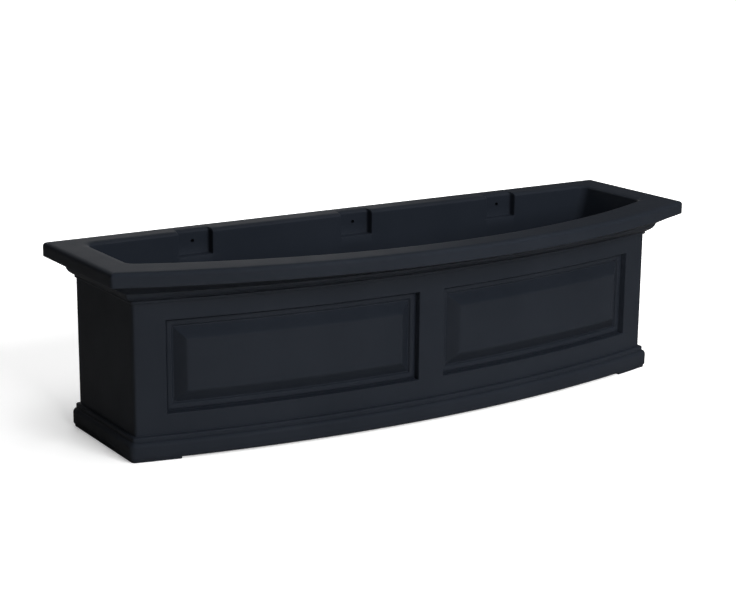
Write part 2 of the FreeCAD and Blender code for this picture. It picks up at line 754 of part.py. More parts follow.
def inner_trough():
    body = new_body("trough_form")
    sections = [
        ("outer_top", opening_plan("trough_skin"), "rim_underside"),
        ("outer_slope", trough_plan("trough_skin"), "neck_base - slope_drop"),
        ("outer_foot", trough_plan("trough_skin - trough_draft"), "trough_floor - trough_skin"),
    ]
    loft(body, "AdditiveLoft", "outer_skin", [plan_sketch(body, *each) for each in sections])
    boxes = rounded_box_sketch(
        body, "pad_backs", pad_boxes("trough_skin"), "rim_underside", "pad_round"
    )
    pad(body, "pad_skins", boxes, "rim_underside - pad_base + trough_skin", down=True)
    sections = [
        ("inner_top", opening_plan("0"), "rim_underside"),
        ("inner_slope", trough_plan("0"), "neck_base"),
        ("inner_foot", trough_plan("-trough_draft"), "trough_floor"),
    ]
    loft(body, "SubtractiveLoft", "inner_skin", [plan_sketch(body, *each) for each in sections])
    boxes = rounded_box_sketch(body, "pad_faces", pad_boxes("0"), "rim_underside", "pad_round")
    pocket(body, "screw_pads", boxes, "rim_underside - pad_base")

    wells = rounded_box_sketch(
        body, "well_outsides", well_boxes("trough_skin"), "trough_floor - trough_skin / 2",
        "well_round + trough_skin",
    )
    pad(body, "wells", wells, "trough_floor - trough_skin / 2 - hollow_base", down=True)
    wells = rounded_box_sketch(
        body, "well_insides", well_boxes("0"), "trough_floor", "well_round"
    )
    pocket(body, "well_hollows", wells, "trough_floor - hollow_base - trough_skin")
    holes = [("-drain_spacing / 2", "0"), ("drain_spacing / 2", "0")]
    drains = circle_sketch(body, "drain_spots", "XY_Plane", holes, "trough_floor", "drain_hole")
    pocket(body, "drain_holes", drains, "2 * trough_skin")

    boss_start = "pad_back + trough_skin / 2"
    spots = [(x, boss_start, "screw_height - boss_size / 2") for x in PAD_PLACES]
    length = f"hollow_back - ({boss_start})"
    bosses = blocks("screw_boss", "boss_size", length, "boss_size", spots)
    bossed = part_boolean("MultiFuse", "bossed_trough", body, bosses)
    spots = [
        (f"{middle} + {way} * well_length / 4", "-well_width", "hollow_base + trough_skin")
        for middle in WELL_PLACES
        for way in (-1, 1)
    ]
    slots = blocks("water_slot", "slot_length", "2 * well_width", "slot_height", spots)
    tools = screw_holes("trough_screw_hole", "opening_back - skin") + slots
    tools = part_boolean("MultiFuse", "trough_holes", tools[0], tools[1:])
    return part_boolean("Cut", "inner_trough", bossed, tools)


def well_boxes(grow):
    low, high = f"-well_width / 2 - ({grow})", f"well_width / 2 + ({grow})"
    width = f"well_length + 2 * ({grow})"
    return [(middle, low, width, high) for middle in WELL_PLACES]


# ---------------------------------------------------------------- drain plugs


def turned(name, profile, place):
    """A body turned about an upright axis from (radius, level) corners."""
    body = new_body(name)
    sketch = body.newObject("Sketcher::SketchObject", name + "_profile")
    sketch.AttachmentSupport = (origin_plane(body, "XZ_Plane"), [""])
    sketch.MapMode = "FlatFace"
    corners = [FreeCAD.Vector(size(radius), size(level), 0) for radius, level in profile]
    count = len(corners)
    constraint = Sketcher.Constraint
    for number, corner in enumerate(corners):
        sketch.addGeometry(Part.LineSegment(corner, corners[(number + 1) % count]))
    for number in range(count):
        sketch.addConstraint(constraint("Coincident", number, 2, (number + 1) % count, 1))
    for number, (radius, level) in enumerate(profile):
        for label, kind, amount, formula in [
            ("radius", "DistanceX", corners[number].x, radius),
            ("level", "DistanceY", corners[number].y, level),
        ]:
            rule = constraint(kind, -1, 1, number, 1, amount)
            name_size(sketch, sketch.addConstraint(rule), f"{label}_{number}", formula)
    feature = body.newObject("PartDesign::Revolution", name + "_turned")
    feature.Profile = sketch
    feature.ReferenceAxis = (sketch, ["V_Axis"])
    feature.Angle = 360
    sketch.Visibility = False
    body.Tip = feature
    bind(body, "Placement.Base.x", place)
    return body


def drain_plug(side, place):
    head_top = "plug_seat - seal_height"
    head_base = f"{head_top} - plug_head_height"
    shank = "plug_size / 2 - plug_clearance"
    tip = "plug_seat + plug_length"
    corners = [
        ("0", head_base),
        ("plug_head / 2", head_base),
        ("plug_head / 2", head_top),
        (shank, head_top),
        (shank, tip),
        ("0", tip),
    ]
    plug = turned(f"plug_form_{side}", corners, place)
    spot = (place, "-plug_grip_width / 2", f"{head_base} - plug_grip_height")
    height = "plug_grip_height + plug_grip_root"
    grip = blocks(f"plug_grip_{side}", "plug_size", "plug_grip_width", height, [spot])
    return part_boolean("MultiFuse", f"drain_plug_{side}", plug, grip)


def plug_seal(side, place):
    inner, outer = "plug_size / 2 + plug_clearance", "seal_size / 2"
    base = "plug_seat - seal_height"
    corners = [(inner, base), (outer, base), (outer, "plug_seat"), (inner, "plug_seat")]
    return turned(f"plug_seal_{side}", corners, place)


# ---------------------------------------------------------------- the parts


nodes = [outer_shell(), inner_trough()]
for side, place in PLUG_PLACES.items():
    nodes += [drain_plug(side, place), plug_seal(side, place)]
doc.recompute()

for thing in doc.Objects:
    if {"Invalid", "Error"} & set(thing.State):
        raise RuntimeError(f"{thing.Name}: {thing.State}")
for node in nodes:
    shape = node.Shape
    if shape.isNull() or not shape.isValid() or not shape.Solids:
        raise RuntimeError(f"{node.Label}: no valid solid")

os.makedirs("parts", exist_ok=True)
for node in nodes:
    node.Shape.exportStep(f"parts/{node.Label}.step")
    box = node.Shape.BoundBox
    print(node.Label, len(node.Shape.Solids), round(node.Shape.Volume), box)
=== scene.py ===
"""The looks of a moulded window box planter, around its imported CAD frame."""

import math
from dataclasses import dataclass, replace

import bpy
import numpy as np
from mathutils import Matrix, Vector


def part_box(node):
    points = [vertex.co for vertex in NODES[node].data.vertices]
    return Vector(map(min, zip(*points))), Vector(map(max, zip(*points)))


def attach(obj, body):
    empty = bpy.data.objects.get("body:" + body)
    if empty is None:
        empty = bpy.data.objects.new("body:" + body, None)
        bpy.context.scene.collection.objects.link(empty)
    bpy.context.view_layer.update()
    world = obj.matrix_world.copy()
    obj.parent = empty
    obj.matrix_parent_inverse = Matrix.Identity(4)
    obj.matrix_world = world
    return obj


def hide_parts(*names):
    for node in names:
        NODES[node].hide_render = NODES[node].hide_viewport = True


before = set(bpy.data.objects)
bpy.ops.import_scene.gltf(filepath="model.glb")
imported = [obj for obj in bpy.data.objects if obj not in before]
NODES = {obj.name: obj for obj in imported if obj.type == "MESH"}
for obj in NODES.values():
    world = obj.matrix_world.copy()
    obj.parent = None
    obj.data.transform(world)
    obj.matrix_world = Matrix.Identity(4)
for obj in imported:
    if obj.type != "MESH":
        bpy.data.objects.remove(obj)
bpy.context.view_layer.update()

# ------------------------------------------------------------------ sizes, in millimetres

MM = 0.001
low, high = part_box("outer_shell")
RIM_HALF = high.x / MM
WALL_PLANE = high.y / MM
RIM_CROWN = low.y / MM
TOP = high.z / MM
RIM_BOW = 94
SKIN = 5
CORNER_ROUND = 4

END_OVERHANG = 43
BODY_CROWN = -75.5
BODY_BOW = 51
BACK_INSET = 5
FASCIA_BASE = TOP - 19
FASCIA_ROUND, FASCIA_SPREAD = 5, 1.5  # height, and how much wider than high
FASCIA_FOOT_ROUND = 1.2
SOFFIT_BASE = FASCIA_BASE - 15.4
SOFFIT_START, SOFFIT_END = 0.06, 0.667
COVE_BASE = SOFFIT_BASE - 12.6
COVE_PULL = (0.9, 0.38)  # where the cove's curve is drawn towards, as shares out and up
NECK_BASE = COVE_BASE - 3.5
NECK_END = 0.94

FOOT_HEIGHT = 3
FOOT_LENGTH = 62
FOOT_INSET = 2
PLINTH_PROUD = 10
PLINTH_ROUND = 6.5
PLINTH_CORNER_ROUND = 8
PLINTH_TOP = 26
BEAD_PROUD = 5
BEAD_ROUND = 2.5
BEAD_TOP = 32

STILE = 40
PANEL_BASE = 58.5
PANEL_TOP = NECK_BASE - 23.5
STEP_DEPTH = 9.4  # the step down from the face, all round a panel
BAND_CREST, BAND_WIDTH = 7.8, 9.4  # the low band inside the step
PANEL_DEPTH = 11  # the groove inside the band
PANEL_EDGE, BEVEL_WIDTH = 27, 15  # the raised field's edge, and the bevel that rises to it

RIM_UNDERSIDE = TOP - SKIN
OPENING_HALF = RIM_HALF - 45
OPENING_BACK = WALL_PLANE - 39
OPENING_CROWN = RIM_CROWN + 44
OPENING_BOW = 94
OPENING_ROUND = 14
LIP_ROUND, LIP_SPREAD = 4.5, 2.4  # height, and how much wider than high
TROUGH_SKIN = 4
TROUGH_HALF = RIM_HALF - END_OVERHANG - 13
TROUGH_FRONT = 24
TROUGH_DRAFT = 3
TROUGH_FLOOR = 60
FLOOR_ROUND = 7

PAD_PLACES = (-254, 0, 254)
PAD_HALF = 25
PAD_RECESS = 11
PAD_BASE = TOP - 34
SCREW_HEIGHT = TOP - 16
SCREW_RADIUS = 2.5
BOSS = 18
HOLLOW_BACK = WALL_PLANE - BACK_INSET - SKIN

WELL_PLACES = (-190, 190)
WELL_SIZE = (96, 64)
WELL_ROUND = 14
SLOT_LENGTH, SLOT_HEIGHT = 12, 6
DRAIN_PLACES = (-280, 280)
HOLE_RADIUS = 4
PLUG_PLACES = (-300, 300)
RECESS_RADIUS, RECESS_DEPTH = 23, 12
PLUG_RADIUS = 11
OVERFLOW_HEIGHT = 48

# ------------------------------------------------------------------ outlines seen from above


def bow_radius(half, bow):
    return (half**2 + bow**2) / (2 * bow)


@dataclass
class Plan:
    """An outline with a straight back, straight ends and a bowed front."""

    half: float
    back: float
    crown: float
    radius: float
    front_round: float = CORNER_ROUND
    back_round: float = CORNER_ROUND

    def drawn_in(self, inset):
        return Plan(
            self.half - inset,
            self.back - inset,
            self.crown + inset,
            self.radius - inset,
            max(self.front_round - inset, 1),
            max(self.back_round - inset, 1),
        )


def between(first, second, share):
    """The plan at a share of the way from one plan to another."""
    pairs = zip(vars(first).values(), vars(second).values())
    return Plan(*(a + (b - a) * share for a, b in pairs))


BODY_HALF = RIM_HALF - END_OVERHANG
BODY_RADIUS = bow_radius(BODY_HALF, BODY_BOW)
BODY = Plan(BODY_HALF, WALL_PLANE - BACK_INSET, BODY_CROWN, BODY_RADIUS)
PLINTH = Plan(
    BODY_HALF + PLINTH_PROUD,
    WALL_PLANE,
    BODY_CROWN - PLINTH_PROUD,
    BODY_RADIUS + PLINTH_PROUD,
    PLINTH_CORNER_ROUND,
    PLINTH_CORNER_ROUND,
)
BEAD = Plan(
    BODY_HALF + BEAD_PROUD,
    WALL_PLANE - BEAD_PROUD / 2,
    BODY_CROWN - BEAD_PROUD,
    BODY_RADIUS + BEAD_PROUD,
)
OPENING = Plan(
    OPENING_HALF,
    OPENING_BACK,
    OPENING_CROWN,
    bow_radius(OPENING_HALF, OPENING_BOW),
    OPENING_ROUND,
    OPENING_ROUND,
)
TROUGH = Plan(
    TROUGH_HALF,
    OPENING_BACK,
    BODY_CROWN + TROUGH_FRONT,
    BODY_RADIUS - TROUGH_FRONT,
    OPENING_ROUND,
    OPENING_ROUND,
)


def cornice(share):
    """A plan between the rim's (share 0) and the body's (share 1)."""
    half = RIM_HALF - share * END_OVERHANG
    bow = RIM_BOW - share * (RIM_BOW - BODY_BOW)
    crown = RIM_CROWN + share * (BODY_CROWN - RIM_CROWN)
    return Plan(half, WALL_PLANE - share * BACK_INSET, crown, bow_radius(half, bow))


# ------------------------------------------------------------------ profiles

CORNER_COLUMNS = 8
END_COLUMNS = 14
WIDEST_COLUMN = 11
ROUND_STEPS = 7


def softened(corners, steps=3):
    """A polyline whose (x, y, round) corners are eased by that much on both sides."""
    points = [np.array(corners[0][:2], float)]
    for before, here, after in zip(corners, corners[1:], corners[2:]):
        spot = np.array(here[:2], float)
        if not here[2]:
            points.append(spot)
            continue
        arms = [np.array(other[:2], float) - spot for other in (before, after)]
        arms = [arm * min(here[2] / np.linalg.norm(arm), 0.45) for arm in arms]
        for step in np.linspace(0, 1, steps + 1):
            points.append(spot + arms[0] * (1 - step) ** 2 + arms[1] * step**2)
    points.append(np.array(corners[-1][:2], float))
    return np.array(points)


def panel_profile():
    """How deep the front lies behind its face at an offset inside a panel's edge."""
    return softened(
        [
            (-2, 0, 0),
            (0, 0, 0.8),
            (0.6, STEP_DEPTH, 0.8),
            (2, STEP_DEPTH - 0.3, 0.6),
            (BAND_WIDTH * 0.38, BAND_CREST, 1.4),
            (BAND_WIDTH, STEP_DEPTH - 0.6, 0.6),
            (BAND_WIDTH + 1.2, PANEL_DEPTH, 0.5),
            (PANEL_EDGE - BEVEL_WIDTH, PANEL_DEPTH, 0.6),
            (PANEL_EDGE, 0, 1.6),
            (PANEL_EDGE + 4, 0, 0),
        ]
    )


PANEL = panel_profile()
PAD_SIDE = np.array(
    [(-3.2, 1), (-2.2, 0.99), (-1, 0.93), (-0.3, 0.8), (0, 0.5), (0.2, 0.2), (0.8, 0.05), (2, 0)]
)
PAD_SHELF = np.array(
    [(-1.8, 0), (-0.8, 0.04), (-0.3, 0.14), (0, 0.5), (0.2, 0.84), (0.7, 0.95), (1.8, 1)]
)


def filled(values, widest):
    """Sorted values, with more put evenly into gaps wider than widest."""
    values = np.unique(np.round(values, 4))
    more = [
        np.linspace(start, end, math.ceil((end - start) / widest) + 1)[:-1]
        for start, end in zip(values, values[1:])
    ]
    return np.append(np.concatenate(more), values[-1])


# Columns of the front, as places along the body's face and as shares of its arc.
BODY_LEAN = math.asin((BODY_HALF - CORNER_ROUND) / (BODY_RADIUS - CORNER_ROUND))
ALONG_END = BODY_RADIUS * BODY_LEAN
PANEL_START, PANEL_END = (
    BODY_RADIUS * math.asin(place / BODY_RADIUS) for place in (STILE / 2, BODY_HALF - STILE)
)
panel_lines = np.concatenate((PANEL_START + PANEL[:, 0], PANEL_END - PANEL[:, 0]))
ALONG = filled(
    np.concatenate((panel_lines, -panel_lines, [-ALONG_END, 0, ALONG_END])), WIDEST_COLUMN
)
FRONT = ALONG / ALONG_END

# Columns of the back, from right to left, with lines at the sides of the screw pads.
BACK_REACH = OPENING_HALF - OPENING_ROUND
pad_lines = [
    middle + way * (PAD_HALF + offset)
    for middle in PAD_PLACES
    for way in (-1, 1)
    for offset in PAD_SIDE[:, 0]
]
BACK_X = filled(np.array(pad_lines + [-BACK_REACH, BACK_REACH]), WIDEST_COLUMN)[::-1][1:-1]
PAD_REACH = PAD_PLACES[-1] + PAD_HALF - PAD_SIDE[0, 0]
nearest_pad = np.min([np.abs(BACK_X - middle) for middle in PAD_PLACES], axis=0)
NOTCH = PAD_RECESS * np.interp(nearest_pad - PAD_HALF, *PAD_SIDE.T)


def panel_sink(level):
    """How deep each column of the front lies behind its face at a level."""
    along = np.abs(ALONG)
    inside = np.minimum(along - PANEL_START, PANEL_END - along)
    inside = np.minimum(inside, min(level - PANEL_BASE, PANEL_TOP - level))
    return np.interp(inside, *PANEL.T)


def ring(plan, level, sink=0.0, notch=0.0):
    """A closed row of points round a plan, anticlockwise from the front's left end.

    sink draws the front's points in, and notch moves the back's points out."""
    inner = plan.half - plan.front_round
    centre = plan.crown + plan.radius
    corner = centre - math.sqrt((plan.radius - plan.front_round) ** 2 - inner**2)
    lean = math.atan2(inner, centre - corner)
    reach = plan.radius - sink
    front = np.column_stack((reach * np.sin(FRONT * lean), centre - reach * np.cos(FRONT * lean)))
    turn = np.linspace(lean - math.pi / 2, 0, CORNER_COLUMNS + 1)[1:]
    front_corner = np.column_stack((np.cos(turn), np.sin(turn))) * plan.front_round
    front_corner += (inner, corner)
    end = np.linspace(corner, plan.back - plan.back_round, END_COLUMNS + 1)[1:]
    end = np.column_stack((np.full(END_COLUMNS, plan.half), end))
    turn = np.linspace(0, math.pi / 2, CORNER_COLUMNS + 1)[1:]
    back_corner = np.column_stack((np.cos(turn), np.sin(turn))) * plan.back_round
    back_corner += (plan.half - plan.back_round, plan.back - plan.back_round)
    right = np.concatenate((front_corner, end, back_corner))
    span = plan.half - plan.back_round
    back = np.interp(
        BACK_X,
        (-BACK_REACH, -PAD_REACH, PAD_REACH, BACK_REACH),
        (-span, -PAD_REACH, PAD_REACH, span),
    )
    back = np.column_stack((back, np.full(len(back), plan.back) + notch))
    left = right[::-1] * (-1, 1)
    flat = np.concatenate((front, right, back, left))
    levels, sinks = np.full(len(flat), float(level)), np.zeros(len(flat))
    sinks[: len(FRONT)] = sink
    return np.column_stack((flat, levels, sinks))


# ------------------------------------------------------------------ meshes

SHARP_ANGLE = math.radians(35)
CIRCLE_STEPS = 48
BEYOND = 4  # how far a cutter reaches past what it cuts
EVEN = 0.001  # sinks that differ by less than this count as level


def new_piece(name, points, faces):
    """A mesh object of points given in millimetres."""
    mesh = bpy.data.meshes.new(name)
    mesh.from_pydata([tuple(point[:3] * MM) for point in np.asarray(points)], [], faces)
    piece = bpy.data.objects.new(name, mesh)
    bpy.context.scene.collection.objects.link(piece)
    return piece


def quad_or_mitre(sinks, a, b, c, d):
    """A quad, or where a mitre crosses it, two triangles that meet along the mitre."""
    if abs(sinks[a] + sinks[c] - sinks[b] - sinks[d]) < EVEN:
        return [(a, b, c, d)]
    if abs(sinks[a] - sinks[c]) > abs(sinks[b] - sinks[d]):
        return [(a, b, c), (a, c, d)]
    return [(a, b, d), (b, c, d)]


def stacked(name, rows):
    """A closed body of rows: a cap under the first, walls between them, one on the last."""
    count = len(rows[0])
    points = np.concatenate(rows)
    sinks = points[:, 3]
    faces = [tuple(reversed(range(count)))]
    for row in range(0, len(points) - count, count):
        for column in range(count):
            a, b = row + column, row + (column + 1) % count
            faces += quad_or_mitre(sinks, a, b, b + count, a + count)
    faces.append(tuple(range(len(points) - count, len(points))))
    return new_piece(name, points, faces)


def prisms(name, outlines):
    """One object of upright prisms; each outline is (points, bottom, top)."""
    points, faces = [], []
    for outline, bottom, top in outlines:
        start, count = len(points), len(outline)
        points += [np.array((x, y, z)) for z in (bottom, top) for x, y in outline]
        faces.append(tuple(start + i for i in reversed(range(count))))
        faces.append(tuple(start + count + i for i in range(count)))
        for i in range(count):
            following = (i + 1) % count
            faces.append(
                (start + i, start + following, start + count + following, start + count + i)
            )
    return new_piece(name, points, faces)


def circle(x, y, radius):
    """A polygon with flats, not corners, where it crosses its own axes."""
    turns = (np.arange(CIRCLE_STEPS) + 0.5) * 2 * math.pi / CIRCLE_STEPS
    return [(x + radius * math.cos(turn), y + radius * math.sin(turn)) for turn in turns]


def rounded_box(x, y, width, depth, corner):
    """A rectangle's outline about its middle, with rounded corners."""
    outline = []
    for number, (way_x, way_y) in enumerate(((1, 1), (-1, 1), (-1, -1), (1, -1))):
        middle = (x + way_x * (width / 2 - corner), y + way_y * (depth / 2 - corner))
        for turn in np.linspace(number, number + 1, ROUND_STEPS) * math.pi / 2:
            outline.append(
                (middle[0] + corner * math.cos(turn), middle[1] + corner * math.sin(turn))
            )
    return outline


def rods(name, spots, radius, start, end):
    """Cylinders along Y, as cutters; each spot is (x, level)."""
    rod = prisms(name, [(circle(x, -level, radius), start, end) for x, level in spots])
    rod.data.transform(Matrix.Rotation(-math.pi / 2, 4, "X"))
    return rod


def carve(piece, operation, tool):
    """Apply a boolean with a tool, which is used up."""
    change = piece.modifiers.new(operation.lower(), "BOOLEAN")
    change.operation, change.object, change.solver = operation, tool, "EXACT"
    scene_state = bpy.context.evaluated_depsgraph_get()
    mesh = bpy.data.meshes.new_from_object(piece.evaluated_get(scene_state))
    piece.modifiers.clear()
    piece.data = mesh
    bpy.data.objects.remove(tool)


def finished(piece, node, material):
    """Shade a piece, dress it and let it stand for its CAD node."""
    piece.data.shade_smooth()
    piece.data.set_sharp_from_angle(angle=SHARP_ANGLE)
    piece.data.materials.clear()
    piece.data.materials.append(material)
    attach(piece, "planter")
    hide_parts(node)


def quarter(radius, steps=ROUND_STEPS, share=1.0):
    """(inwards, upwards) points of a quarter round, from its upright end."""
    turns = np.linspace(0, share * math.pi / 2, steps + 1)
    return [(radius * (1 - math.cos(turn)), radius * math.sin(turn)) for turn in turns]


# ------------------------------------------------------------------ outer shell

PLINTH_TURN = math.acos(1 - (PLINTH_PROUD - BEAD_PROUD) / PLINTH_ROUND) / (math.pi / 2)
COVE_STEPS = 8
TOP_STEPS = 4
INNER_FRONT = (5, 17)  # the hidden side of the front, beside and behind the panels


def plinth_rows():
    rows = [(FOOT_INSET + 0.6, 0), (FOOT_INSET, 0.6), (FOOT_INSET, FOOT_HEIGHT)]
    rows += [(0.35, FOOT_HEIGHT + 1.6), (0, FOOT_HEIGHT + 2.6), (0, FOOT_HEIGHT + 9)]
    start = PLINTH_TOP - PLINTH_ROUND
    rows += [(inset, start + up) for inset, up in quarter(PLINTH_ROUND, share=PLINTH_TURN)]
    rows = [ring(PLINTH.drawn_in(inset), level) for inset, level in rows]
    start = BEAD_TOP - BEAD_ROUND
    bead = [(0, PLINTH_TOP)] + [(inset, start + up) for inset, up in quarter(BEAD_ROUND)]
    rows += [ring(BEAD.drawn_in(inset), level) for inset, level in bead]
    root = [(0.9, BEAD_TOP), (0.25, BEAD_TOP + 0.25), (0, BEAD_TOP + 0.9)]
    return rows + [ring(BODY.drawn_in(-proud), level) for proud, level in root]


def wall_rows():
    lines = [PANEL_BASE + PANEL[:, 0], PANEL_TOP - PANEL[:, 0], [BEAD_TOP + 2, NECK_BASE - 1]]
    levels = filled(np.concatenate(lines), WIDEST_COLUMN)
    return [ring(BODY, level, sink=panel_sink(level)) for level in levels]


def cornice_rows():
    rows = [(1, NECK_BASE - 0.4), (0.99, NECK_BASE), (NECK_END + 0.008, NECK_BASE)]
    rows += [(NECK_END, NECK_BASE + 0.5), (NECK_END, COVE_BASE - 0.5)]
    pull_x, pull_z = COVE_PULL
    for step in np.linspace(0, 1, COVE_STEPS + 1)[1:]:
        out = 2 * step * (1 - step) * pull_x + step**2
        up = 2 * step * (1 - step) * pull_z + step**2
        share = NECK_END + (SOFFIT_END - NECK_END) * out
        rows.append((share, COVE_BASE + (SOFFIT_BASE - COVE_BASE) * up))
    for step in np.linspace(0, 1, TOP_STEPS + 1)[1:]:
        share = SOFFIT_END + (SOFFIT_START - SOFFIT_END) * step
        rows.append((share, SOFFIT_BASE + (FASCIA_BASE - SOFFIT_BASE) * step))
    return [ring(cornice(share), level) for share, level in rows]


def rim_rows():
    edge = cornice(0)
    rows = [ring(edge.drawn_in(FASCIA_FOOT_ROUND), FASCIA_BASE)]
    for inset, up in reversed(quarter(FASCIA_FOOT_ROUND, steps=3)[:-1]):
        rows.append(ring(edge.drawn_in(inset), FASCIA_BASE + FASCIA_FOOT_ROUND - up))
    for level in (FASCIA_BASE + 4, (FASCIA_BASE + TOP) / 2, TOP - FASCIA_ROUND - 2):
        rows.append(ring(edge, level))
    for inset, up in quarter(FASCIA_ROUND):
        rows.append(ring(edge.drawn_in(inset * FASCIA_SPREAD), TOP - FASCIA_ROUND + up))
    lip = [
        ring(OPENING.drawn_in((inset - LIP_ROUND) * LIP_SPREAD), TOP - drop, notch=NOTCH)
        for drop, inset in quarter(LIP_ROUND)
    ]
    for share in np.linspace(0, 1, TOP_STEPS + 1)[1:-1]:
        rows.append(rows[-1] + (lip[0] - rows[-1]) * share)
    return rows + lip + [ring(OPENING, RIM_UNDERSIDE, notch=NOTCH)]


def hollow_rows():
    """The hidden side, from under the rim down to the floor of the shell."""

    def inner(plan, front, level):
        drawn = replace(plan, crown=plan.crown + front, radius=plan.radius - front)
        return ring(replace(drawn, half=plan.half - SKIN, back=HOLLOW_BACK), level)

    beside, behind = INNER_FRONT
    rows = [inner(cornice(0), beside, level) for level in (RIM_UNDERSIDE, FASCIA_BASE + SKIN)]
    rows.append(inner(cornice(SOFFIT_END), 0, SOFFIT_BASE + 1.2 * SKIN))
    rows += [inner(BODY, beside, level) for level in (COVE_BASE, PANEL_TOP + 2 * SKIN)]
    rows += [inner(BODY, behind, level) for level in (PANEL_TOP + SKIN, PANEL_BASE - SKIN)]
    floor = FOOT_HEIGHT + SKIN
    return rows + [inner(BODY, beside, level) for level in (PANEL_BASE - 2 * SKIN, floor)]


def add_outer_shell(material):
    rows = plinth_rows() + wall_rows() + cornice_rows() + rim_rows() + hollow_rows()
    shell = stacked("shell_skin", rows)
    seat = FOOT_HEIGHT + RECESS_DEPTH
    inside = FOOT_HEIGHT + SKIN / 2
    domes = [(circle(x, 0, RECESS_RADIUS + SKIN), inside, seat + SKIN) for x in PLUG_PLACES]
    carve(shell, "UNION", prisms("domes", domes))
    carve(shell, "DIFFERENCE", prisms("gaps_between_feet", [(feet_gap(), -1, FOOT_HEIGHT)]))
    recesses = [(circle(x, 0, RECESS_RADIUS), -1, seat) for x in PLUG_PLACES]
    carve(shell, "DIFFERENCE", prisms("plug_recesses", recesses))
    holes = [(circle(x, 0, PLUG_RADIUS), seat - 1, seat + 2 * SKIN) for x in PLUG_PLACES]
    carve(shell, "DIFFERENCE", prisms("plug_holes", holes))
    start, end = HOLLOW_BACK - BEYOND, WALL_PLANE + BEYOND
    spots = [(x, OVERFLOW_HEIGHT) for x in PLUG_PLACES]
    carve(shell, "DIFFERENCE", rods("overflows", spots, HOLE_RADIUS, start, end))
    spots = [(x, SCREW_HEIGHT) for x in PAD_PLACES]
    carve(shell, "DIFFERENCE", rods("shell_screws", spots, SCREW_RADIUS, start, end))
    finished(shell, "outer_shell", material)


def feet_gap():
    """The space between the feet, which reach from front to back along both ends."""
    side = BODY_HALF + PLINTH_PROUD - FOOT_INSET - FOOT_LENGTH
    back = WALL_PLANE + BEYOND
    return [(side, RIM_CROWN), (side, back), (-side, back), (-side, RIM_CROWN)]


# ------------------------------------------------------------------ inner trough


def trough_plan(level):
    """The trough's inner wall at a level."""
    if level >= NECK_BASE:
        share = (RIM_UNDERSIDE - level) / (RIM_UNDERSIDE - NECK_BASE)
        return between(OPENING, TROUGH, share)
    taper = (NECK_BASE - level) / (NECK_BASE - TROUGH_FLOOR)
    return TROUGH.drawn_in(TROUGH_DRAFT * taper)


def trough_rows():
    outer = [(TROUGH_FLOOR - TROUGH_SKIN, TROUGH_FLOOR), (NECK_BASE - 2, NECK_BASE)]
    outer.append((RIM_UNDERSIDE, RIM_UNDERSIDE))
    back = OPENING_BACK + PAD_RECESS + TROUGH_SKIN
    rows = [
        ring(replace(trough_plan(form).drawn_in(-TROUGH_SKIN), back=back), level)
        for level, form in outer
    ]
    low = TROUGH_FLOOR + FLOOR_ROUND
    lines = [RIM_UNDERSIDE, NECK_BASE + 3, NECK_BASE, NECK_BASE - 3, low]
    levels = filled(np.concatenate((lines, PAD_BASE + PAD_SHELF[:, 0])), 2 * WIDEST_COLUMN)
    for level in levels[::-1]:
        notch = NOTCH * np.interp(level - PAD_BASE, *PAD_SHELF.T)
        rows.append(ring(trough_plan(level), level, notch=notch))
    for drop, inset in [(up, inwards) for inwards, up in quarter(FLOOR_ROUND)][1:]:
        rows.append(ring(trough_plan(low).drawn_in(inset), low - drop))
    return rows


def add_inner_trough(material):
    trough = stacked("trough_skin", trough_rows())
    bottom, floor = FOOT_HEIGHT + SKIN, TROUGH_FLOOR - TROUGH_SKIN / 2
    length, width = WELL_SIZE
    outside = (length + 2 * TROUGH_SKIN, width + 2 * TROUGH_SKIN, WELL_ROUND + TROUGH_SKIN)
    wells = [(rounded_box(x, 0, *outside), bottom, floor) for x in WELL_PLACES]
    carve(trough, "UNION", prisms("well_outsides", wells))
    start = OPENING_BACK + PAD_RECESS + TROUGH_SKIN / 2
    bosses = [
        (rounded_box(x, (start + HOLLOW_BACK) / 2, BOSS, HOLLOW_BACK - start, 1),
         SCREW_HEIGHT - BOSS / 2, SCREW_HEIGHT + BOSS / 2)
        for x in PAD_PLACES
    ]
    carve(trough, "UNION", prisms("bosses", bosses))
    inside = (length, width, WELL_ROUND)
    wells = [
        (rounded_box(x, 0, *inside), bottom + TROUGH_SKIN, TROUGH_FLOOR + 1) for x in WELL_PLACES
    ]
    drains = [
        (circle(x, 0, HOLE_RADIUS), TROUGH_FLOOR - BEYOND - TROUGH_SKIN, TROUGH_FLOOR + 1)
        for x in DRAIN_PLACES
    ]
    carve(trough, "DIFFERENCE", prisms("well_insides", wells + drains))
    slot_width = 2 * width
    slots = [
        (rounded_box(x + way * length / 4, 0, SLOT_LENGTH, slot_width, 1),
         bottom + TROUGH_SKIN, bottom + TROUGH_SKIN + SLOT_HEIGHT)
        for x in WELL_PLACES
        for way in (-1, 1)
    ]
    carve(trough, "DIFFERENCE", prisms("water_slots", slots))
    spots = [(x, SCREW_HEIGHT) for x in PAD_PLACES]
    tool = rods("trough_screws", spots, SCREW_RADIUS, OPENING_BACK, WALL_PLANE + BEYOND)
    carve(trough, "DIFFERENCE", tool)
    finished(trough, "inner_trough", material)


# ------------------------------------------------------------------ materials

GLOSS_DRIFT = 0.05
PEEL_DEPTH, GRAIN_DEPTH = 0.0006, 0.00015  # in metres


def linked(tree, kind, name, **values):
    """A new shader node with some of its sockets set."""
    node = tree.nodes.new(kind)
    node.name = node.label = name
    for socket, value in values.items():
        node.inputs[socket.replace("_", " ")].default_value = value
    return node


def set_range(node, start, end, low, high):
    """Let a Map Range node turn start to end into low to high."""
    node.inputs["From Min"].default_value = start
    node.inputs["From Max"].default_value = end
    node.inputs["To Min"].default_value = low
    node.inputs["To Max"].default_value = high


